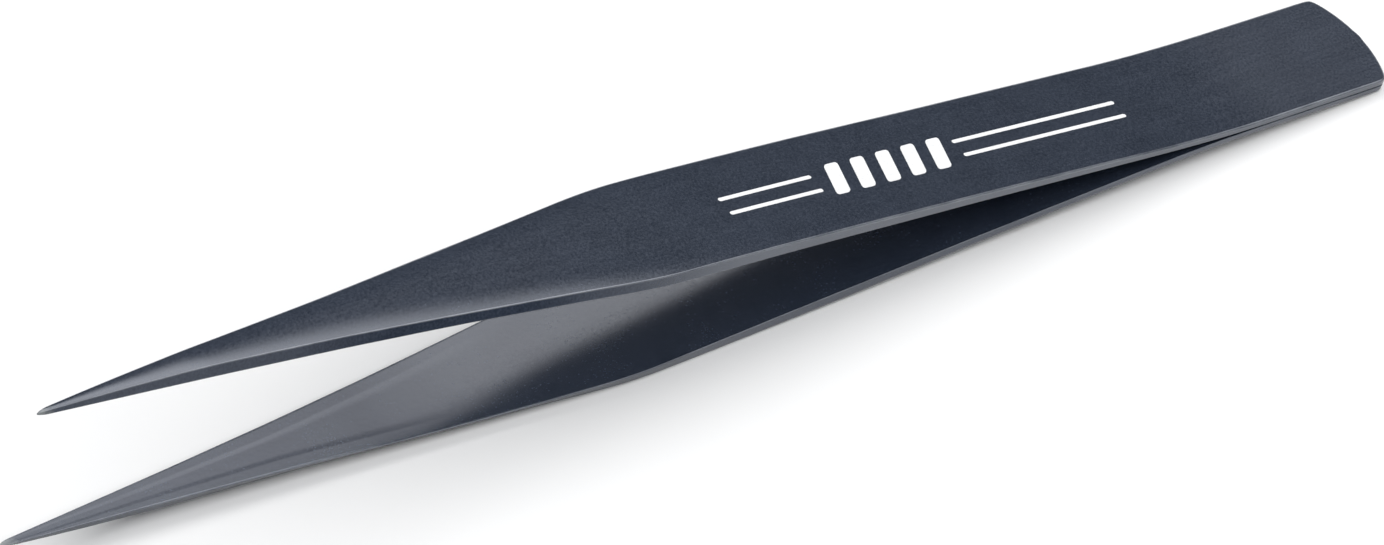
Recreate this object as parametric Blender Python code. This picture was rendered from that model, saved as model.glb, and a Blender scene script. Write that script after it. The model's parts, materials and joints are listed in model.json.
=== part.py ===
"""Straight precision tweezers.

Two spring-steel blades lie face to face at the heel, where two resistance spot welds join them, and
spread towards slender points.  Each blade is one strip of steel.  It bends a few millimetres in front
of the welds when the tweezers are squeezed, so it is split there into a heel piece and an arm.  The arm
is cut once more, just short of its shoulder, into a grip piece and a point piece that move as one.

Blade coordinates, in millimetres: x runs from the heel's end to the points, y across the blade, and z
out from the plane where the two blades meet.  The lower blade is the upper one turned over.
World coordinates: +X towards the points, +Z up, lying on a table at z = 0, centred over the origin.
"""

import math

import bmesh
import bpy
from mathutils import Matrix, Vector

MM = 0.001

# Driving dimensions, in millimetres.
OVERALL_LENGTH = 125.0
HEEL_SAGITTA = 1.15  # how far the round heel end bulges past its two corners
HEEL_CORNER_POWER = 16  # the higher, the tighter the corner between the heel's round end and its side
HEEL_HALF_WIDTH = 4.8
HEEL_THICKNESS = 0.5
SEAM_HALF_GAP = 0.05  # half the gap between the blades' inner faces at the heel
TIP_ROUND = 1.0  # length over which the point rounds off
TIP_THICKNESS_SHARE = 0.35  # what is left of the thickness at the very point
FLEXURE_STATION = 29.0  # where a squeezed blade bends, taken as one axis
POINT_STATION = 69.0  # just short of the shoulder, where the grip piece ends and the point piece starts
SPLIT_GAP = 0.3
WIDTH_EASE = 1.2  # the corners of the width table are eased over this length either side

# Half width of the blade along its length, as (station, half width).
HALF_WIDTHS = (
    (0.0, HEEL_HALF_WIDTH),
    (16.0, 4.86),
    (42.0, 4.82),
    (60.0, 4.9),
    (72.0, 5.06),
    (75.0, 4.9),
    (85.0, 3.92),
    (100.0, 2.36),
    (110.0, 1.45),
    (120.0, 0.62),
    (OVERALL_LENGTH, 0.2),
)

# Slope of the outer crest and of the inner face against the meeting plane, as (station, slope).
CREST_SLOPES = ((0.0, 0.0), (12.0, 0.0), (24.0, 0.093), (50.0, 0.093), (OVERALL_LENGTH, 0.018))
INNER_SLOPES = (
    (0.0, 0.0),
    (12.0, 0.0),
    (24.0, 0.081),
    (60.0, 0.081),
    (84.0, 0.06),
    (94.0, 0.027),
    (OVERALL_LENGTH, 0.024),
)

# Ground shape of the front half, as (station, value).
CROWN_DROPS = (
    (0.0, 0.0),
    (57.0, 0.0),
    (70.0, 0.05),
    (84.0, 0.12),
    (100.0, 0.14),
    (112.0, 0.08),
    (OVERALL_LENGTH, 0.02),
)
CROWN_FLATS = ((0.0, 0.75), (74.0, 0.75), (104.0, 0.0), (OVERALL_LENGTH, 0.0))  # flat share of the crown
FACET_INSETS = (
    (0.0, 0.0),
    (57.0, 0.0),
    (70.0, 0.15),
    (84.0, 0.42),
    (96.0, 0.44),
    (108.0, 0.36),
    (118.0, 0.2),
    (OVERALL_LENGTH, 0.06),
)
POINT_THINNING = (
    (0.0, 0.0),
    (68.0, 0.0),
    (86.0, 0.2),
    (100.0, 0.28),
    (112.0, 0.34),
    (118.0, 0.61),
    (OVERALL_LENGTH, 1.03),
)
MOST_INSET = 0.45  # of the half width
MOST_CROWN_DROP = 0.4  # of the thickness

# Spot welds.
WELD_STATIONS = {"spot_weld_rear": 4.0, "spot_weld_front": 9.5}
WELD_RADIUS = 1.6
WELD_HALF_HEIGHT = 0.2
WELD_CLEARANCE = 0.05
WELD_SIDES = 24

# Mesh density.
CROWN_POINTS = 9
HEEL_SPACING = 1.6
HEEL_STRAIGHT_START = 4.0  # first station past the round heel end
ARM_SPACING = 2.0
HEEL_END_TURNS = range(12, 100, 11)  # degrees round the heel's end
TIP_TURNS = (0, 25, 45, 62, 74)  # degrees round the point
SHARP_ANGLE = 25

BELLY_SEARCH = (50.0, 100.0, 0.5)  # first, last and step of the stations tried for the lowest point
COAT_COLOUR = (0.05, 0.057, 0.07, 1.0)
WELD_COLOUR = (0.42, 0.42, 0.43, 1.0)


def between(table, x):
    """The value at x of a table of (station, value), straight between its stations."""
    for (x0, v0), (x1, v1) in zip(table, table[1:]):
        if x <= x1:
            return v0 + (v1 - v0) * (x - x0) / (x1 - x0)
    return table[-1][1]


def climb(slopes, x):
    """How far a surface has climbed at x, when its slope follows a table of (station, slope)."""
    height = 0.0
    for (x0, s0), (x1, s1) in zip(slopes, slopes[1:]):
        run = min(x, x1) - x0
        if run <= 0:
            break
        height += s0 * run + (s1 - s0) * run * run / (2 * (x1 - x0))
    return height


def smooth_between(table, x):
    """As between, with corners eased by averaging over a short stretch either side."""
    samples = [between(table, x + WIDTH_EASE * step) for step in (-1, -0.5, 0, 0.5, 1)]
    return sum(samples) / len(samples)


def round_off(x):
    """1 along the blade, falling as an ellipse to nearly 0 at the very point."""
    run = max(0.0, x - (OVERALL_LENGTH - TIP_ROUND)) / TIP_ROUND
    return math.sqrt(max(0.0, 1 - run * run))


def half_width(x):
    side = smooth_between(HALF_WIDTHS, x)
    radius = (HEEL_HALF_WIDTH**2 + HEEL_SAGITTA**2) / (2 * HEEL_SAGITTA)
    if x < 3 * HEEL_SAGITTA:
        heel_arc = math.sqrt(radius**2 - (radius - x) ** 2)
        power = HEEL_CORNER_POWER
        side = (heel_arc**-power + side**-power) ** (-1 / power)
    return side * round_off(x)


def inner_height(x):
    return SEAM_HALF_GAP + climb(INNER_SLOPES, x)


def crest_height(x):
    full = SEAM_HALF_GAP + HEEL_THICKNESS + climb(CREST_SLOPES, x) - smooth_between(POINT_THINNING, x)
    share = TIP_THICKNESS_SHARE + (1 - TIP_THICKNESS_SHARE) * round_off(x)
    return inner_height(x) + (full - inner_height(x)) * share


def section(x):
    """The blade's cross-section at x: flat inside, leaning side facets and a crowned outside."""
    width = half_width(x)
    inset = min(between(FACET_INSETS, x), MOST_INSET * width)
    thickness = crest_height(x) - inner_height(x)
    drop = min(between(CROWN_DROPS, x), MOST_CROWN_DROP * thickness)
    flat = between(CROWN_FLATS, x)
    points = [(x, -width, inner_height(x)), (x, width, inner_height(x))]
    for step in range(CROWN_POINTS):
        across = 1 - 2 * step / (CROWN_POINTS - 1)
        past_flat = max(0.0, (abs(across) - flat) / (1 - flat))
        points.append((x, across * (width - inset), crest_height(x) - drop * past_flat**2))
    return points


def stations(start, end, spacing):
    count = max(1, round((end - start) / spacing))
    return [start + (end - start) * step / count for step in range(count + 1)]


def heel_end_stations():
    """Stations that bunch up towards the round heel end, then reach its corners."""
    turns = [math.radians(angle) for angle in HEEL_END_TURNS]
    return [2 * HEEL_SAGITTA * (1 - math.cos(turn)) for turn in turns]


def tip_end_stations():
    """Stations that bunch up towards the very point."""
    turns = [math.radians(angle) for angle in TIP_TURNS]
    return [OVERALL_LENGTH - TIP_ROUND * (1 - math.sin(turn)) for turn in turns]


def to_metres(points, side):
    """Points in blade coordinates, in metres, for the upper (side 1) or the lower (side -1) blade."""
    return [Vector((x, y, side * z)) * MM for x, y, z in points]


def loft(name, along, side, collection, material, origin):
    """One blade piece: a skin over the cross-sections at the given stations, closed at both ends."""
    skin = bmesh.new()
    rings = [[skin.verts.new(point - origin) for point in to_metres(section(x), side)] for x in along]
    for ring, following in zip(rings, rings[1:]):
        for corner in range(len(ring)):
            beside = (corner + 1) % len(ring)
            skin.faces.new((ring[corner], ring[beside], following[beside], following[corner]))
    skin.faces.new(rings[0])
    skin.faces.new(rings[-1])
    bmesh.ops.recalc_face_normals(skin, faces=skin.faces)
    mesh = bpy.data.meshes.new(name)
    skin.to_mesh(mesh)
    skin.free()
    return add_object(name, mesh, collection, material)


def disc(name, radius, half_height, collection, material):
    """A short upright cylinder centred on its origin."""
    mesh = bpy.data.meshes.new(name)
    shape = bmesh.new()
    bmesh.ops.create_cone(
        shape,
        cap_ends=True,
        segments=WELD_SIDES,
        radius1=radius * MM,
        radius2=radius * MM,
        depth=2 * half_height * MM,
    )
    shape.to_mesh(mesh)
    shape.free()
    return add_object(name, mesh, collection, material)


def add_object(name, mesh, collection, material):
    mesh.shade_smooth()
    mesh.set_sharp_from_angle(angle=math.radians(SHARP_ANGLE))
    mesh.materials.append(material)
    obj = bpy.data.objects.new(name, mesh)
    collection.objects.link(obj)
    return obj


def make_material(name, colour, roughness, metallic):
    material = bpy.data.materials.new(name)
    material.use_nodes = True
    shader = material.node_tree.nodes["Principled BSDF"]
    shader.inputs["Base Color"].default_value = colour
    shader.inputs["Roughness"].default_value = roughness
    shader.inputs["Metallic"].default_value = metallic
    return material


def make_collection(name):
    collection = bpy.data.collections.new(name)
    bpy.context.scene.collection.children.link(collection)
    return collection


def rest_frame():
    """Blade to world: tilted so that heel end and belly both touch z = 0, centred along X."""
    heel_outside = SEAM_HALF_GAP + HEEL_THICKNESS
    belly = max(stations(*BELLY_SEARCH), key=lambda x: (crest_height(x) - heel_outside) / x)
    tilt = math.atan2(crest_height(belly) - heel_outside, belly)
    tip = OVERALL_LENGTH
    reach = tip * math.cos(tilt) + inner_height(tip) * math.sin(tilt)
    heel_back = -heel_outside * math.sin(tilt)
    middle = (reach + heel_back) / 2
    shift = Vector((-middle, 0, heel_outside * math.cos(tilt))) * MM
    return Matrix.Translation(shift) @ Matrix.Rotation(-tilt, 4, "Y")


def make_blade(side_name, side, frame, collection, cutters, steel):
    """The pieces of one blade; those of the arm have their origin on the flexure axis."""
    middle = (inner_height(FLEXURE_STATION) + crest_height(FLEXURE_STATION)) / 2
    flexure = Vector((FLEXURE_STATION, 0, side * middle)) * MM
    half_gap = SPLIT_GAP / 2
    heel_along = heel_end_stations()
    heel_along += stations(HEEL_STRAIGHT_START, FLEXURE_STATION - half_gap, HEEL_SPACING)
    grip_along = stations(FLEXURE_STATION + half_gap, POINT_STATION - half_gap, ARM_SPACING)
    point_along = stations(POINT_STATION + half_gap, OVERALL_LENGTH - 2 * TIP_ROUND, ARM_SPACING)
    point_along += tip_end_stations()

    heel = loft(f"{side_name}_blade_heel", heel_along, side, collection, steel, Vector((0, 0, 0)))
    heel.matrix_world = frame
    for weld, station in WELD_STATIONS.items():
        radius = WELD_RADIUS + WELD_CLEARANCE
        height = WELD_HALF_HEIGHT + WELD_CLEARANCE
        pocket = disc(f"{side_name}_{weld}_pocket", radius, height, cutters, steel)
        pocket.matrix_world = frame @ Matrix.Translation(Vector((station, 0, 0)) * MM)
        pocket.hide_render = True
        pocket.display_type = "WIRE"
        cut = heel.modifiers.new(weld, "BOOLEAN")
        cut.operation = "DIFFERENCE"
        cut.solver = "EXACT"
        cut.object = pocket

    for piece, along in (("grip", grip_along), ("point", point_along)):
        arm = loft(f"{side_name}_blade_{piece}", along, side, collection, steel, flexure)
        arm.matrix_world = frame @ Matrix.Translation(flexure)


def make_welds(frame, collection, material):
    """The fused nuggets that hold the two heels together, half in each blade."""
    for weld, station in WELD_STATIONS.items():
        nugget = disc(weld, WELD_RADIUS, WELD_HALF_HEIGHT, collection, material)
        nugget.matrix_world = frame @ Matrix.Translation(Vector((station, 0, 0)) * MM)


def main():
    for obj in list(bpy.data.objects):
        bpy.data.objects.remove(obj, do_unlink=True)
    pieces = make_collection("precision_tweezers")
    cutters = make_collection("cutters")
    cutters.hide_render = True
    steel = make_material("blackened_spring_steel", COAT_COLOUR, 0.38, 0.8)
    bare = make_material("weld_steel", WELD_COLOUR, 0.45, 1.0)
    frame = rest_frame()
    make_blade("upper", 1, frame, pieces, cutters, steel)
    make_blade("lower", -1, frame, pieces, cutters, steel)
    make_welds(frame, pieces, bare)


main()
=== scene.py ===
import json
import math

import bmesh
import bpy
from mathutils import Matrix, Vector

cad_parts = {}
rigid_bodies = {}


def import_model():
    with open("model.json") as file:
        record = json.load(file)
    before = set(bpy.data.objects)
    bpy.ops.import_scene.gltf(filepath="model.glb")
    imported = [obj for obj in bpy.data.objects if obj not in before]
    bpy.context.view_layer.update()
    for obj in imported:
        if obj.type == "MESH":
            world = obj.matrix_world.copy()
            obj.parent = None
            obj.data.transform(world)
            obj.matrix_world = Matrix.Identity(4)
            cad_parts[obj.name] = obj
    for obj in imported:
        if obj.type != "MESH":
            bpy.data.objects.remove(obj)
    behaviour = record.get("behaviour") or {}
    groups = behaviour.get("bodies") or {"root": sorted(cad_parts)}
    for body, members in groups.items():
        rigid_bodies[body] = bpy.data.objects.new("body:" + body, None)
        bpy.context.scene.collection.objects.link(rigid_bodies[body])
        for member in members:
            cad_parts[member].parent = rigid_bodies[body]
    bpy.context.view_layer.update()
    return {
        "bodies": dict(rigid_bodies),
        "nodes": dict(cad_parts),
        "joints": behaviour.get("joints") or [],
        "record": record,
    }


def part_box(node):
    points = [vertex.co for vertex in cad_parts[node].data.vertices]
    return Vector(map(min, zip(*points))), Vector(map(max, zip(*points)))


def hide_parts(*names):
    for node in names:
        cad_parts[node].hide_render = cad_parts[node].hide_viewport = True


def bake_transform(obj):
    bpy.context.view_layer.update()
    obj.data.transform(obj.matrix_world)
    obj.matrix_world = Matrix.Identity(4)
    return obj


# Looks of the straight precision tweezers.  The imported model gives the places: its two spot welds lie on
# the plane where the blades meet.  Blade coordinates, in millimetres, are the CAD source's: x from the
# heel's end to the points, y across, z out from the meeting plane.  The lower blade is the upper one
# turned over.  The blade's tables are lists of (station, value), where a station is a place along x.

MM = 0.001

# The blade, as in the CAD source.
LENGTH = 125.0
HEEL_SAGITTA = 1.15  # how far the round heel end bulges past its two corners
HEEL_CORNER_POWER = 16  # the higher, the tighter the corner between the heel's round end and its side
HEEL_HALF_WIDTH = 4.8
HEEL_ARC_REACH = 3 * HEEL_SAGITTA  # past this the round heel end has no part in the width
HEEL_THICKNESS = 0.5
SEAM_HALF_GAP = 0.05  # half the gap between the blades' inner faces at the heel
TIP_ROUND = 1.0  # length over which the point rounds off
TIP_THICKNESS_SHARE = 0.35  # what is left of the thickness at the very point
REAR_WELD_STATION = 4.0
FLEXURE_STATION = 29.0

HALF_WIDTHS = (
    (0, HEEL_HALF_WIDTH),
    (16, 4.86),
    (42, 4.82),
    (60, 4.9),
    (72, 5.06),
    (75, 4.9),
    (85, 3.92),
    (100, 2.36),
    (110, 1.45),
    (120, 0.62),
    (LENGTH, 0.2),
)
# Slopes of the outer crest and of the inner face against the meeting plane.
CREST_SLOPES = ((0, 0), (12, 0), (24, 0.093), (50, 0.093), (LENGTH, 0.018))
INNER_SLOPES = ((0, 0), (12, 0), (24, 0.081), (60, 0.081), (84, 0.06), (94, 0.027), (LENGTH, 0.024))
# Ground shape of the front half: the crown falls off towards its edges, the sides lean in, and the crest
# is thinned towards the point.
CROWN_DROPS = ((0, 0), (57, 0), (70, 0.05), (84, 0.12), (100, 0.14), (112, 0.08), (LENGTH, 0.02))
CROWN_FLATS = ((0, 0.75), (74, 0.75), (104, 0), (LENGTH, 0))  # flat share of the crown
FACET_INSETS = (
    (0, 0),
    (57, 0),
    (70, 0.15),
    (84, 0.42),
    (96, 0.44),
    (108, 0.36),
    (118, 0.2),
    (LENGTH, 0.06),
)
POINT_THINNING = ((0, 0), (68, 0), (86, 0.2), (100, 0.28), (112, 0.34), (118, 0.61), (LENGTH, 1.03))
MOST_CROWN_DROP = 0.4  # of the thickness
WIDTH_EASE = 1.2  # the corners of the width table are eased over this length either side
SHAPE_EASE = 4.0  # and those of the other tables over this

# Fine shape that the CAD leaves out: rounded edges, and an inner face whose middle is dished a little
# between two edge bands.
OUTER_ROUNDS = ((0, 0.13), (55, 0.13), (75, 0.06), (115, 0.045), (LENGTH, 0.02))
INNER_ROUNDS = ((0, 0.05), (60, 0.05), (80, 0.09), (115, 0.07), (LENGTH, 0.02))
BAND_WIDTHS = ((0, 0.08), (70, 0.08), (86, 1.0), (104, 1.0), (118, 0.3), (LENGTH, 0.06))
DISH_DEPTHS = ((0, 0), (74, 0), (86, 0.014), (104, 0.017), (118, 0.009), (LENGTH, 0.001))
DISH_RAMP = 0.26  # the inner face sinks from its edge bands to its dished middle over this much
SUPPORT = 0.04  # extra loops this far beside each crease keep the shading crisp
CREASE_FOOT_SHARE = 1 / 8  # of the dish ramp, where the loop on the dish's side of the crease lies
CREASE_TOP_SHARE = 1 / 4  # of the dish ramp, where the loop on the band's side lies
LIP_SHARE = 1 / 8  # of the edge band, where the loop beside the rounded inner edge lies

# Marks that the shading reads off the blade's mesh, as (how much edge wear and painted edge highlight, how
# much it is side wall).
PLAIN = (0, 0)
INNER_EDGE = (0.7, 0)
OUTER_EDGE = (1, 0)
WALL = (0, 1)

LEAST_ROOM = 0.12  # half width that the point is taken to have when its edges are rounded
EDGE_ROOM = 0.45  # most of the half width that an edge may take

# Fineness of the blade's mesh.
STATION_SPACING = 0.5
HEEL_TURNS = range(0, 96, 3)  # degrees round the heel's end at which there is a section
TIP_TURNS = range(0, 91, 10)  # the same round the very point
INNER_COLUMNS = 8
CROWN_COLUMNS = 18
INNER_ROUND_STEPS = 3
OUTER_ROUND_STEPS = 4
SHARP_ANGLE = math.radians(40)
MERGE_DISTANCE = 1e-4

# The white print on the upper blade: slanted bars with a pair of pinstripes on either side.
PRINT_RISE = 0.015  # its top is this far over the blade's face
PRINT_SINK = 0.02  # and its underside this far under it
PRINT_CENTRE = 48.0
PRINT_LINE_ENDS = (24.6, 63.9)
PRINT_LINE_HALF_HEIGHT = 0.17
PRINT_LINE_OFFSETS = (-0.75, 0.75)
PRINT_BARS = 5
PRINT_BAR_PITCH = 2.5
PRINT_BAR_WIDTH = 1.35
PRINT_BAR_HALF_HEIGHT = 1.55
PRINT_BAR_SLANT = 0.32
PRINT_BAR_CORNER = 0.3
PRINT_LINE_GAP = 1.3  # between the bars and the pinstripes
PRINT_ROWS = 14
PRINT_SPACING = 0.4
LEAST_PRINT_STEPS = 2

# Camera, looking at the middle of the tweezers.  Angles in degrees, clip distances in metres.
CAMERA_AZIMUTH = 133.14
CAMERA_ELEVATION = 43.63
CAMERA_ROLL = 15.47
CAMERA_DISTANCE = 670.9 * MM
CAMERA_AIM = Vector((3.404, 1.001, 4.676)) * MM
CAMERA_LENS = 240.74
CAMERA_SENSOR = 36.0
CAMERA_CLIP = (0.01, 100)

# Noise scales are cycles in a millimetre, and in a metre on the floor.  Details are extra octaves.
SMOOTH_DETAIL = 1
ROUGH_DETAIL = 3
MOST_OF_NOISE = (0.3, 0.7)  # where nearly all of a noise's values lie
MIDDLE_OF_NOISE = (0.35, 0.65)

# The coat: a dark blue-black base under a strong satin shine.
COAT_IOR = 1.95
COAT_TINT = (0.885, 0.915, 1.0, 1.0)
COAT_DARK = (0.012, 0.018, 0.031)
COAT_LIGHT = (0.031, 0.041, 0.063)
COAT_ROUGHNESS = (0.17, 0.25)
COAT_BUMP = 0.0015
SPECKLE_SCALE = 2.6
CLOUD_SCALE = 0.3
GRAIN_SCALE = 5.5
GRINDING_STRETCH = (0.1, 2.2, 0.6)  # cycles in a millimetre along, across and out of the blade
TONE_GRAIN = 0.6
TONE_CLOUD = 0.3
TONE_GRINDING = 0.1
GLOSS_GRAIN = 0.8
GLOSS_GRINDING = 0.2
BUMP_GRINDING = 0.15
# Pale colour on the rounded edges: partly wear of the coat, partly a painted highlight.
RUBBED_COAT_AND_HIGHLIGHT = (0.175, 0.185, 0.205)
RUBBED_AND_HIGHLIGHT_SHARES = (0.2, 0.65)  # least and most of the edge wear and painted-highlight colour that an edge shows

# The coat is worn off the very points.  The wear sets in between these stations, and a noise draws them
# forward by up to the ragged reach, so that its line is ragged.
BARE_STATIONS = (124.8, 126.3)
BARE_RAGGED_SCALE = 1.5
BARE_RAGGED_REACH = 2.0
BARE_SHARE = 0.7
BARE_STEEL = (0.30, 0.32, 0.30)

# The ground side walls of the jaw are duller than the faces.  That sets in between these stations.
JAW_STATIONS = (66.0, 78.0)
FACE_SPECULAR = 0.5
JAW_WALL_SPECULAR = 0.2

ENAMEL_DARK = (0.78, 0.79, 0.80)
ENAMEL_LIGHT = (0.9, 0.9, 0.9)
ENAMEL_ROUGHNESS = (0.5, 0.36)
ENAMEL_SCALE = 6.0
ENAMEL_BUMP = 0.003

WELD_DARK = (0.3, 0.28, 0.27)
WELD_LIGHT = (0.48, 0.48, 0.5)
WELD_ROUGHNESS = (0.35, 0.6)
WELD_SCALE = 3.0
WELD_DETAIL = 4
WELD_BUMP = 0.01

# The floor is in metres.
FLOOR_RADIUS = 4.0
FLOOR_SIDES = 96
FLOOR_DROP = 0.02 * MM
FLOOR_DARK = (0.845, 0.85, 0.855)
FLOOR_LIGHT = (0.865, 0.868, 0.872)
FLOOR_GRAIN_SCALE = 40.0
FLOOR_ROUGHNESS = 0.9
FLOOR_SPECULAR = 0.1

# Brightness of the studio by height, as (sine of the elevation, level): a pale horizon, dim walls, and a
# broad soft light overhead that is brightest at its rim.
SKY_LEVELS = (
    (0.0, 0.3),
    (0.05, 0.28),
    (0.2, 0.04),
    (0.635, 0.015),
    (0.685, 0.57),
    (0.75, 0.95),
    (0.87, 0.58),
    (1.0, 0.58),
)
SKY_STRENGTH = 3.2

# Sockets of the Mix node when it mixes colours.
MIX_FIRST = 6
MIX_SECOND = 7
MIX_RESULT = 2


def between(table, x):
    """The value at x of a table of (station, value), straight between its stations."""
    for (x0, v0), (x1, v1) in zip(table, table[1:]):
        if x <= x1:
            return v0 + (v1 - v0) * (x - x0) / (x1 - x0)
    return table[-1][1]


def eased(table, x, ease):
    """As between, with corners eased by averaging over a stretch either side."""
    samples = [between(table, x + ease * step) for step in (-1, -0.5, 0, 0.5, 1)]
    return sum(samples) / len(samples)


def climb(slopes, x):
    """How far a surface has climbed at x, when its slope follows a table of (station, slope)."""
    height = 0.0
    for (x0, s0), (x1, s1) in zip(slopes, slopes[1:]):
        run = min(x, x1) - x0
        if run <= 0:
            break
        height += s0 * run + (s1 - s0) * run * run / (2 * (x1 - x0))
    return height


def round_off(x):
    """Share of the full width that is left at x where the very point rounds off."""
    run = max(0.0, x - (LENGTH - TIP_ROUND)) / TIP_ROUND
    return math.sqrt(max(0.0, 1 - run * run))


def half_width(x):
    if x <= 0:
        return 0.0
    side = eased(HALF_WIDTHS, x, WIDTH_EASE)
    radius = (HEEL_HALF_WIDTH**2 + HEEL_SAGITTA**2) / (2 * HEEL_SAGITTA)
    if x < HEEL_ARC_REACH:
        arc = math.sqrt(radius**2 - (radius - x) ** 2)
        power = HEEL_CORNER_POWER
        side = (arc**-power + side**-power) ** (-1 / power)
    return side * round_off(x)


def inner_height(x):
    return SEAM_HALF_GAP + climb(INNER_SLOPES, x)


def dish_depth(x):
    return eased(DISH_DEPTHS, x, SHAPE_EASE)


def crest_height(x):
    full = SEAM_HALF_GAP + HEEL_THICKNESS + climb(CREST_SLOPES, x)
    full -= eased(POINT_THINNING, x, WIDTH_EASE)
    share = TIP_THICKNESS_SHARE + (1 - TIP_THICKNESS_SHARE) * round_off(x)
    return inner_height(x) + (full - inner_height(x)) * share


def crown_drop(x):
    thickness = crest_height(x) - inner_height(x)
    return min(eased(CROWN_DROPS, x, SHAPE_EASE), MOST_CROWN_DROP * thickness)


def facet_inset(x, width):
    return min(eased(FACET_INSETS, x, SHAPE_EASE), EDGE_ROOM * max(width, LEAST_ROOM))


def crown_height(x, y):
    """Height of the crowned outer face at a place on it."""
    width = max(half_width(x), LEAST_ROOM)
    across = min(1.0, abs(y) / (width - facet_inset(x, width)))
    flat = eased(CROWN_FLATS, x, SHAPE_EASE)
    past_flat = max(0.0, (across - flat) / (1 - flat))
    return crest_height(x) - crown_drop(x) * past_flat**2


def steps(start, end, spacing):
    count = max(1, round((end - start) / spacing))
    return [start + (end - start) * step / count for step in range(count + 1)]


def edge_line():
    """Plan of one edge from the middle of the heel's end to the very point, as (x, y, inward normal)."""
    heel = [2 * HEEL_SAGITTA * (1 - math.cos(math.radians(turn))) for turn in HEEL_TURNS]
    tip = [LENGTH - TIP_ROUND * (1 - math.sin(math.radians(turn))) for turn in TIP_TURNS]
    straight_end = LENGTH - TIP_ROUND - STATION_SPACING
    straight = steps(heel[-1] + STATION_SPACING, straight_end, STATION_SPACING)
    points = [Vector((x, half_width(x))) for x in heel + straight + tip]
    before = [Vector((points[1].x, -points[1].y))] + points[:-1]
    after = points[1:] + [Vector((points[-2].x, -points[-2].y))]
    line = []
    for point, last, following in zip(points, before, after):
        tangent = (following - last).normalized()
        line.append((point, Vector((tangent.y, -tangent.x))))
    return line


def curve_corner(start, corner, end, count):
    """Points of a rounded corner from start to end, both included."""
    shares = [step / count for step in range(count + 1)]
    return [(1 - t) ** 2 * start + 2 * t * (1 - t) * corner + t * t * end for t in shares]


def edge_profile(x, width):
    """Cross-section of one edge, from the inner face round to the crown, as ((inset, height), marks)."""
    room = EDGE_ROOM * max(width, LEAST_ROOM)
    low = inner_height(x)
    band = min(eased(BAND_WIDTHS, x, SHAPE_EASE), room)
    inner_round = min(eased(INNER_ROUNDS, x, SHAPE_EASE), room / 2)
    inset = facet_inset(x, width)
    top = crest_height(x) - crown_drop(x)
    lip = Vector((inner_round, low))
    side_foot = Vector((0, low + inner_round))
    side_top = Vector((inset, top))
    side = side_foot - side_top
    outer_round = min(eased(OUTER_ROUNDS, x, SHAPE_EASE), room / 2, side.length / 3)
    crease = lip + Vector((band, 0))
    ramp = min(DISH_RAMP, band / 2)
    profile = [
        (crease + Vector((ramp, dish_depth(x))), PLAIN),
        (crease + Vector((ramp * CREASE_FOOT_SHARE, 0)), PLAIN),
        (crease - Vector((ramp * CREASE_TOP_SHARE, 0)), PLAIN),
        (lip + Vector((band * LIP_SHARE, 0)), PLAIN),
    ]
    inner_curve = curve_corner(lip, Vector((0, low)), side_foot, INNER_ROUND_STEPS)
    profile += [(spot, INNER_EDGE) for spot in inner_curve]
    down = side.normalized()
    start = side_top + down * outer_round
    wall = side_foot - side_top - down * outer_round
    margin = min(SUPPORT, wall.length / 4)
    profile.append((side_foot - down * margin, WALL))
    profile.append((start + down * margin, WALL))
    end = side_top + Vector((outer_round, 0))
    outer_curve = curve_corner(start, side_top, end, OUTER_ROUND_STEPS)
    profile += [(spot, OUTER_EDGE) for spot in outer_curve]
    profile.append((end + Vector((min(SUPPORT, room / 4), 0)), PLAIN))
    return profile


def blade_ring(point, inward):
    """One closed loop round the blade, as (place, marks): both edges, and what is between them."""
    right = []
    profile = edge_profile(point.x, point.y)
    for number, (spot, marks) in enumerate(profile):
        place = point + inward * spot.x
        height = spot.y
        if number == 0:
            height = inner_height(place.x) + dish_depth(place.x)
        elif number >= len(profile) - 2:
            height = crown_height(place.x, place.y)
        right.append((Vector((place.x, max(0.0, place.y), height)), marks))
    left = [(Vector((p.x, -p.y, p.z)), marks) for p, marks in reversed(right)]
    crown_end, inner_end = right[-1][0], right[0][0]
    crown = []
    for column in range(1, CROWN_COLUMNS):
        y = crown_end.y * (1 - 2 * column / CROWN_COLUMNS)
        crown.append((Vector((crown_end.x, y, crown_height(crown_end.x, y))), PLAIN))
    inner = []
    for column in range(1, INNER_COLUMNS):
        y = -inner_end.y * (1 - 2 * column / INNER_COLUMNS)
        inner.append((Vector((inner_end.x, y, inner_end.z)), PLAIN))
    return right + crown + left + inner


def rest_frame():
    """Blade to world, from the two spot welds: both are centred on the meeting plane."""
    centres = [sum(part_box(name), Vector()) / 2 for name in ("spot_weld_rear", "spot_weld_front")]
    forward = (centres[1] - centres[0]).normalized()
    up = forward.cross(Vector((0, 1, 0)))
    origin = centres[0] - forward * REAR_WELD_STATION * MM
    turn = Matrix((forward, (0, 1, 0), up)).transposed().to_4x4()
    return Matrix.Translation(origin) @ turn


def skin_object(name, skin, material):
    """A smooth-shaded object from a finished skin, which is freed."""
    bmesh.ops.recalc_face_normals(skin, faces=skin.faces)
    mesh = bpy.data.meshes.new(name)
    skin.to_mesh(mesh)
    skin.free()
    mesh.shade_smooth()
    mesh.set_sharp_from_angle(angle=SHARP_ANGLE)
    mesh.materials.append(material)
    obj = bpy.data.objects.new(name, mesh)
    bpy.context.scene.collection.objects.link(obj)
    return obj


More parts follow.
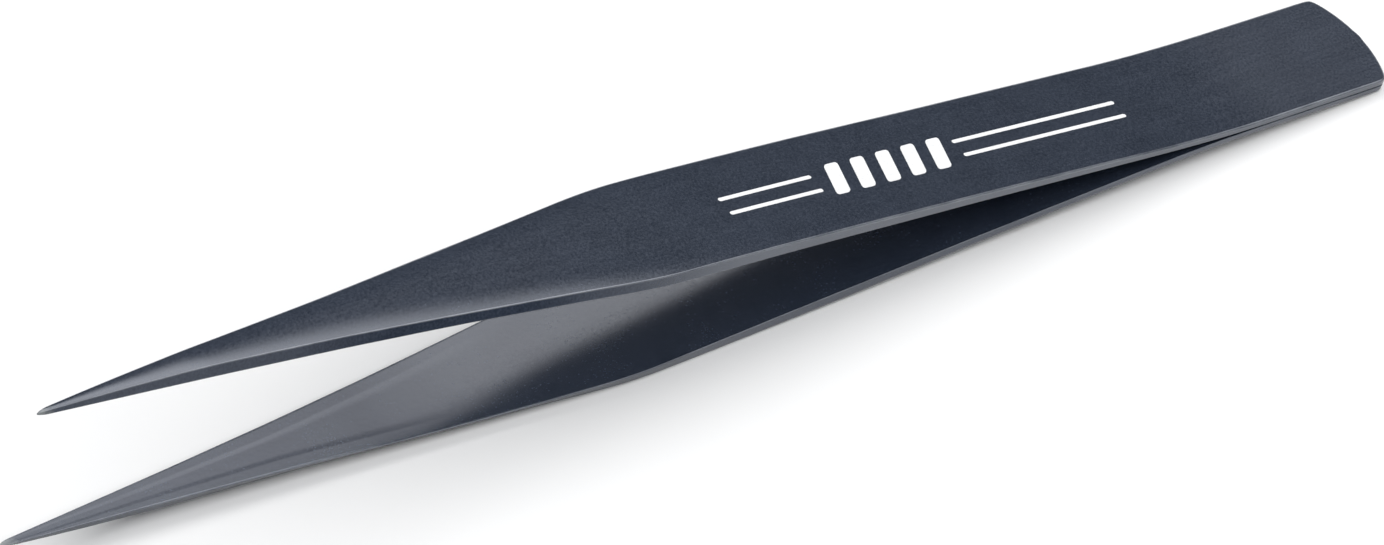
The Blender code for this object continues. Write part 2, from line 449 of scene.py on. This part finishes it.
def make_blade(name, side, frame, material):
    """A whole blade in one piece, with its blade coordinates, edge wear with painted edge highlights, and
    side walls as attributes.

    The side is 1 for the upper blade and -1 for the lower one.
    """
    skin = bmesh.new()
    where = skin.verts.layers.float_vector.new("blade_mm")
    # The edge mark stands for wear of the coat and for a painted highlight on the rounded edges.
    wear_and_highlight_layer = skin.verts.layers.float.new("edge_wear_and_highlight")
    walled = skin.verts.layers.float.new("side_wall")
    rings = []
    for point, inward in edge_line():
        ring = []
        for spot, marks in blade_ring(point, inward):
            place = Vector((spot.x, spot.y, side * spot.z))
            vert = skin.verts.new(frame @ (place * MM))
            vert[where] = place
            vert[wear_and_highlight_layer], vert[walled] = marks
            ring.append(vert)
        rings.append(ring)
    for ring, following in zip(rings, rings[1:]):
        for corner in range(len(ring)):
            beside = (corner + 1) % len(ring)
            skin.faces.new((ring[corner], ring[beside], following[beside], following[corner]))
    bmesh.ops.remove_doubles(skin, verts=skin.verts, dist=MERGE_DISTANCE * MM)
    return skin_object(name, skin, material)


def print_patch(skin, rows, frame):
    """One closed patch of print on the upper blade, from rows of (y, first x, last x)."""
    longest = max(last - first for _, first, last in rows)
    count = max(LEAST_PRINT_STEPS, math.ceil(longest / PRINT_SPACING))
    layers = []
    for rise in (PRINT_RISE, -PRINT_SINK):
        grid = []
        for y, first, last in rows:
            line = []
            for step in range(count + 1):
                x = first + (last - first) * step / count
                line.append(skin.verts.new(frame @ (Vector((x, y, crest_height(x) + rise)) * MM)))
            grid.append(line)
        layers.append(grid)
    top, bottom = layers
    for row in range(len(rows) - 1):
        for step in range(count):
            for grid in layers:
                near, far = grid[row], grid[row + 1]
                skin.faces.new((near[step], near[step + 1], far[step + 1], far[step]))
    rim = [(0, step) for step in range(count)]
    rim += [(row, count) for row in range(len(rows) - 1)]
    rim += [(len(rows) - 1, step) for step in range(count, 0, -1)]
    rim += [(row, 0) for row in range(len(rows) - 1, 0, -1)]
    for (row, step), (next_row, next_step) in zip(rim, rim[1:] + rim[:1]):
        skin.faces.new(
            (top[row][step], top[next_row][next_step], bottom[next_row][next_step], bottom[row][step])
        )


def round_ended(half_height, corner, first, last, slant=0.0, offset=0.0):
    """Rows of a bar with rounded corners, slanted or moved across the blade if asked."""
    rows = []
    for step in range(PRINT_ROWS + 1):
        y = -half_height * math.cos(math.pi * step / PRINT_ROWS)
        past = max(0.0, abs(y) - (half_height - corner)) / corner
        inset = corner * (1 - math.sqrt(max(0.0, 1 - past * past)))
        rows.append((offset + y, first + inset + slant * y, last - inset + slant * y))
    return rows


def make_print(frame, material):
    """Plain slanted bars with a pair of pinstripes on either side."""
    skin = bmesh.new()
    half_bar = PRINT_BAR_WIDTH / 2
    half_span = PRINT_BAR_PITCH * (PRINT_BARS - 1) / 2 + half_bar
    for bar in range(PRINT_BARS):
        middle = PRINT_CENTRE + PRINT_BAR_PITCH * (bar - (PRINT_BARS - 1) / 2)
        first, last = middle - half_bar, middle + half_bar
        rows = round_ended(PRINT_BAR_HALF_HEIGHT, PRINT_BAR_CORNER, first, last, PRINT_BAR_SLANT)
        print_patch(skin, rows, frame)
    clear = half_span + PRINT_LINE_GAP
    first_line = (PRINT_LINE_ENDS[0], PRINT_CENTRE - clear)
    last_line = (PRINT_CENTRE + clear, PRINT_LINE_ENDS[1])
    half_height = PRINT_LINE_HALF_HEIGHT
    for offset in PRINT_LINE_OFFSETS:
        for first, last in (first_line, last_line):
            rows = round_ended(half_height, half_height, first, last, offset=offset)
            print_patch(skin, rows, frame)
    return skin_object("upper_blade_print", skin, material)


def new_material(name):
    material = bpy.data.materials.new(name)
    material.use_nodes = True
    tree = material.node_tree
    return material, tree, tree.nodes["Principled BSDF"]


def noise(tree, vector, scale, detail):
    node = tree.nodes.new("ShaderNodeTexNoise")
    node.inputs["Scale"].default_value = scale
    node.inputs["Detail"].default_value = detail
    tree.links.new(vector, node.inputs["Vector"])
    return node.outputs["Fac"]


def stretched(tree, vector, scale):
    node = tree.nodes.new("ShaderNodeMapping")
    node.inputs["Scale"].default_value = scale
    tree.links.new(vector, node.inputs["Vector"])
    return node.outputs["Vector"]


def object_place(tree):
    """Object coordinates, in metres."""
    return tree.nodes.new("ShaderNodeTexCoord").outputs["Object"]


def object_millimetres(tree):
    return stretched(tree, object_place(tree), (1 / MM, 1 / MM, 1 / MM))


def spread(tree, value, source, target=(0, 1)):
    """Maps the value from one (low, high) to another, clamped."""
    node = tree.nodes.new("ShaderNodeMapRange")
    for name, (low, high) in (("From", source), ("To", target)):
        node.inputs[f"{name} Min"].default_value = low
        node.inputs[f"{name} Max"].default_value = high
    tree.links.new(value, node.inputs["Value"])
    return node.outputs["Result"]


def calculate(tree, operation, *values):
    node = tree.nodes.new("ShaderNodeMath")
    node.operation = operation
    for socket, value in zip(node.inputs, values):
        if isinstance(value, (int, float)):
            socket.default_value = value
        else:
            tree.links.new(value, socket)
    return node.outputs["Value"]


def weighted(tree, *terms):
    """Sum of values that each come with a weight, as (value, weight)."""
    total = None
    for value, weight in terms:
        if total is None:
            total = calculate(tree, "MULTIPLY", value, weight)
        else:
            total = calculate(tree, "MULTIPLY_ADD", value, weight, total)
    return total


def mix_colour(tree, share, first, second):
    node = tree.nodes.new("ShaderNodeMix")
    node.data_type = "RGBA"
    tree.links.new(share, node.inputs["Factor"])
    for socket, colour in ((node.inputs[MIX_FIRST], first), (node.inputs[MIX_SECOND], second)):
        if isinstance(colour, tuple):
            socket.default_value = (*colour, 1)
        else:
            tree.links.new(colour, socket)
    return node.outputs[MIX_RESULT]


def attribute(tree, name, output):
    node = tree.nodes.new("ShaderNodeAttribute")
    node.attribute_name = name
    return node.outputs[output]


def bump(tree, shader, height, depth):
    """Roughens the shader by a height of 0..1 that stands for a depth in millimetres."""
    node = tree.nodes.new("ShaderNodeBump")
    node.inputs["Distance"].default_value = depth * MM
    node.inputs["Strength"].default_value = 1.0
    tree.links.new(height, node.inputs["Height"])
    tree.links.new(node.outputs["Normal"], shader.inputs["Normal"])


def coated_steel():
    """Satin blue-black coat with fine grain, edge wear plus a painted highlight on its edges, and bare
    steel at the very points.
    """
    material, tree, shader = new_material("blackened_spring_steel")
    place = attribute(tree, "blade_mm", "Vector")
    speckle = noise(tree, place, SPECKLE_SCALE, SMOOTH_DETAIL)
    cloud = noise(tree, place, CLOUD_SCALE, ROUGH_DETAIL)
    grinding = noise(tree, stretched(tree, place, GRINDING_STRETCH), 1, SMOOTH_DETAIL)
    grain = noise(tree, place, GRAIN_SCALE, SMOOTH_DETAIL)

    tone = weighted(tree, (cloud, TONE_CLOUD), (grain, TONE_GRAIN), (grinding, TONE_GRINDING))
    coat = mix_colour(tree, spread(tree, tone, MOST_OF_NOISE), COAT_DARK, COAT_LIGHT)
    # Pale edge colour: partly wear of the coat, partly a painted highlight on the rounded edges.
    patchy = spread(tree, cloud, MIDDLE_OF_NOISE, RUBBED_AND_HIGHLIGHT_SHARES)
    rubbed_and_highlit = calculate(tree, "MULTIPLY", attribute(tree, "edge_wear_and_highlight", "Fac"), patchy)
    coat = mix_colour(tree, rubbed_and_highlit, coat, RUBBED_COAT_AND_HIGHLIGHT)

    split = tree.nodes.new("ShaderNodeSeparateXYZ")
    tree.links.new(place, split.inputs["Vector"])
    station = split.outputs["X"]
    ragged = noise(tree, place, BARE_RAGGED_SCALE, ROUGH_DETAIL)
    reach = calculate(tree, "MULTIPLY_ADD", ragged, BARE_RAGGED_REACH, station)
    bare = spread(tree, reach, BARE_STATIONS, (0, BARE_SHARE))
    tree.links.new(mix_colour(tree, bare, coat, BARE_STEEL), shader.inputs["Base Color"])

    gloss = weighted(tree, (grain, GLOSS_GRAIN), (grinding, GLOSS_GRINDING))
    tree.links.new(spread(tree, gloss, MOST_OF_NOISE, COAT_ROUGHNESS), shader.inputs["Roughness"])
    shader.inputs["IOR"].default_value = COAT_IOR
    shader.inputs["Specular Tint"].default_value = COAT_TINT
    jaw = spread(tree, station, JAW_STATIONS)
    dulled = calculate(tree, "MULTIPLY", attribute(tree, "side_wall", "Fac"), jaw)
    specular = spread(tree, dulled, (0, 1), (FACE_SPECULAR, JAW_WALL_SPECULAR))
    tree.links.new(specular, shader.inputs["Specular IOR Level"])
    relief = calculate(tree, "MULTIPLY_ADD", grinding, BUMP_GRINDING, speckle)
    bump(tree, shader, relief, COAT_BUMP)
    return material


def white_enamel():
    material, tree, shader = new_material("white_print_enamel")
    grain = noise(tree, object_millimetres(tree), ENAMEL_SCALE, ROUGH_DETAIL)
    colour = mix_colour(tree, spread(tree, grain, MIDDLE_OF_NOISE), ENAMEL_DARK, ENAMEL_LIGHT)
    tree.links.new(colour, shader.inputs["Base Color"])
    tree.links.new(spread(tree, grain, MOST_OF_NOISE, ENAMEL_ROUGHNESS), shader.inputs["Roughness"])
    bump(tree, shader, grain, ENAMEL_BUMP)
    return material


def weld_steel():
    material, tree, shader = new_material("weld_nugget_steel")
    grain = noise(tree, object_millimetres(tree), WELD_SCALE, WELD_DETAIL)
    tree.links.new(mix_colour(tree, grain, WELD_DARK, WELD_LIGHT), shader.inputs["Base Color"])
    tree.links.new(spread(tree, grain, MOST_OF_NOISE, WELD_ROUGHNESS), shader.inputs["Roughness"])
    shader.inputs["Metallic"].default_value = 1.0
    bump(tree, shader, grain, WELD_BUMP)
    return material


def make_floor():
    material, tree, shader = new_material("pale_floor")
    grain = noise(tree, object_place(tree), FLOOR_GRAIN_SCALE, ROUGH_DETAIL)
    tree.links.new(mix_colour(tree, grain, FLOOR_DARK, FLOOR_LIGHT), shader.inputs["Base Color"])
    shader.inputs["Roughness"].default_value = FLOOR_ROUGHNESS
    shader.inputs["Specular IOR Level"].default_value = FLOOR_SPECULAR
    bpy.ops.mesh.primitive_circle_add(
        vertices=FLOOR_SIDES, radius=FLOOR_RADIUS, fill_type="NGON", location=(0, 0, -FLOOR_DROP)
    )
    floor = bpy.context.object
    floor.name = "floor"
    floor.data.materials.append(material)


def make_sky():
    world = bpy.data.worlds.new("studio")
    bpy.context.scene.world = world
    world.use_nodes = True
    tree = world.node_tree
    coordinates = tree.nodes.new("ShaderNodeTexCoord")
    split = tree.nodes.new("ShaderNodeSeparateXYZ")
    tree.links.new(coordinates.outputs["Generated"], split.inputs["Vector"])
    ramp = tree.nodes.new("ShaderNodeValToRGB")
    tree.links.new(split.outputs["Z"], ramp.inputs["Fac"])
    elements = ramp.color_ramp.elements
    while len(elements) < len(SKY_LEVELS):
        elements.new(0.5)
    for element, (height, level) in zip(elements, SKY_LEVELS):
        element.position = height
        element.color = (level, level, level, 1)
    background = tree.nodes["Background"]
    tree.links.new(ramp.outputs["Color"], background.inputs["Color"])
    background.inputs["Strength"].default_value = SKY_STRENGTH


def make_camera():
    azimuth = math.radians(CAMERA_AZIMUTH)
    elevation = math.radians(CAMERA_ELEVATION)
    roll = math.radians(CAMERA_ROLL)
    flat = math.cos(elevation)
    back = Vector((math.sin(azimuth) * flat, -math.cos(azimuth) * flat, math.sin(elevation)))
    level = Vector((math.cos(azimuth), math.sin(azimuth), 0))
    above = back.cross(level)
    right = level * math.cos(roll) + above * math.sin(roll)
    up = above * math.cos(roll) - level * math.sin(roll)
    data = bpy.data.cameras.new("camera")
    data.lens = CAMERA_LENS
    data.sensor_width = CAMERA_SENSOR
    data.clip_start, data.clip_end = CAMERA_CLIP
    camera = bpy.data.objects.new("camera", data)
    bpy.context.scene.collection.objects.link(camera)
    turn = Matrix((right, up, back)).transposed().to_4x4()
    camera.matrix_world = Matrix.Translation(CAMERA_AIM + back * CAMERA_DISTANCE) @ turn
    bpy.context.scene.camera = camera


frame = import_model()
make_camera()
make_floor()
make_sky()
bpy.context.scene.view_settings.view_transform = "Standard"

rest = rest_frame()
steel = coated_steel()
for side_name, side in (("upper", 1), ("lower", -1)):
    blade = make_blade(f"{side_name}_blade", side, rest, steel)
    middle = side * (inner_height(FLEXURE_STATION) + crest_height(FLEXURE_STATION)) / 2
    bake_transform(blade)
    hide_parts(*(f"{side_name}_blade_{piece}" for piece in ("heel", "grip", "point")))
    if side > 0:
        mark = make_print(rest, white_enamel())
        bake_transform(mark)

weld_material = weld_steel()
for name in ("spot_weld_rear", "spot_weld_front"):
    node = frame["nodes"][name]
    node.data.materials.clear()
    node.data.materials.append(weld_material)
